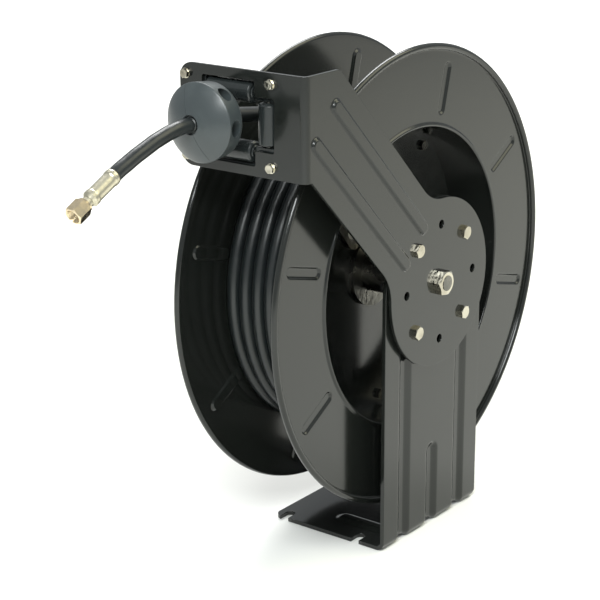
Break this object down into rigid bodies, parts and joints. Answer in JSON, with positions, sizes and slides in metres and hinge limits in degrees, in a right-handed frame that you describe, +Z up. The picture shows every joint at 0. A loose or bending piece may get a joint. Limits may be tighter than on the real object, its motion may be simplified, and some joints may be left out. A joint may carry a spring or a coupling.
{
  "type": "spring-rewind hose reel",
  "caption": "Heavy-duty spring-rewind hose reel with a stamped steel spool on a single pedestal, a guide arm with a roller outlet, wound rubber hose and a hose stop.",
  "frame": {"origin": "on the underside of the foot, directly below the middle of the spool's axle", "axes": "+Z up; the axle lies along Y; the pedestal stands on the -Y side; the hose leaves towards -X"},
  "size_m": [0.6756, 0.1905, 0.5165],
  "materials": {
    "black_enamel": "gloss",
    "yellow_zinc": "satin",
    "bright_zinc": "satin",
    "dark_steel": "satin",
    "spring_steel": "satin",
    "black_nylon": "satin",
    "pale_nylon": "matte",
    "bronze": "satin",
    "brass": "satin",
    "plated_brass": "polished",
    "zinc_ferrule": "satin",
    "hose_rubber": "satin",
    "stop_rubber": "satin",
    "seal_rubber": "matte"
  },
  "bodies": {
    "frame": {"pedestal": "black_enamel", "guide_arm": "black_enamel", "arm_bolts": "yellow_zinc", "arm_lock_washers": "bright_zinc", "arm_nuts": "bright_zinc", "roller_frame": "black_nylon", "frame_screws": "yellow_zinc", "roller_pins": "bright_zinc", "axle_shaft": "bright_zinc", "axle_washer": "yellow_zinc", "axle_nut": "yellow_zinc", "axle_spacer": "bright_zinc", "ratchet_wheel": "dark_steel", "thrust_washer": "pale_nylon", "spring_arbor": "bright_zinc", "retaining_ring": "dark_steel", "inlet_port": "brass", "leading_hose": "hose_rubber", "stop_half_near": "stop_rubber", "stop_half_far": "stop_rubber", "stop_screws": "yellow_zinc", "stop_nuts": "yellow_zinc", "free_hose": "hose_rubber", "ferrule": "zinc_ferrule", "hose_stem": "zinc_ferrule"},
    "spool": {"near_flange": "black_enamel", "far_flange": "black_enamel", "drum": "black_enamel", "spring_case": "black_enamel", "case_cover": "black_enamel", "case_bolts": "bright_zinc", "case_nuts": "bright_zinc", "near_hub": "bright_zinc", "far_hub": "bright_zinc", "near_bush": "bronze", "far_bush": "bronze", "power_spring": "spring_steel", "pawl_bracket": "bright_zinc", "pawl_pin": "bright_zinc", "pawl_spacer": "pale_nylon", "pawl_spring": "spring_steel", "swivel_body": "brass", "swivel_seals": "seal_rubber", "swivel_screws": "bright_zinc", "riser_fitting": "brass", "riser_pipe": "black_enamel", "hose_coupling": "brass", "hose_tail": "hose_rubber", "wound_hose": "hose_rubber"},
    "latch_pawl": {"latch_pawl": "dark_steel"},
    "roller_top": {"roller_top": "black_nylon"},
    "roller_bottom": {"roller_bottom": "black_nylon"},
    "roller_near": {"roller_near": "black_nylon"},
    "roller_far": {"roller_far": "black_nylon"},
    "swivel_nut": {"swivel_nut": "plated_brass"}
  },
  "joints": [
    {"name": "spool_spin", "type": "hinge", "parent": "frame", "child": "spool", "pos_m": [0, 0, 0.272], "axis": [0, 1, 0], "continuous": true},
    {"name": "latch_pawl_pivot", "type": "hinge", "parent": "spool", "child": "latch_pawl", "pos_m": [-0.03985, 0, 0.31949], "axis": [0, 1, 0], "range_deg": [0, 40], "stiffness_Nm_per_rad": 0.05},
    {"name": "roller_top_spin", "type": "hinge", "parent": "frame", "child": "roller_top", "pos_m": [-0.219, 0, 0.4952], "axis": [0, 1, 0], "continuous": true},
    {"name": "roller_bottom_spin", "type": "hinge", "parent": "frame", "child": "roller_bottom", "pos_m": [-0.219, 0, 0.4398], "axis": [0, 1, 0], "continuous": true},
    {"name": "roller_near_spin", "type": "hinge", "parent": "frame", "child": "roller_near", "pos_m": [-0.219, -0.0425, 0.4675], "axis": [0, 0, 1], "continuous": true},
    {"name": "roller_far_spin", "type": "hinge", "parent": "frame", "child": "roller_far", "pos_m": [-0.219, 0.0425, 0.4675], "axis": [0, 0, 1], "continuous": true},
    {"name": "swivel_nut_spin", "type": "hinge", "parent": "frame", "child": "swivel_nut", "pos_m": [-0.42031, 0, 0.42549], "axis": [0.8957, 0, 0.4446], "continuous": true}
  ]
}
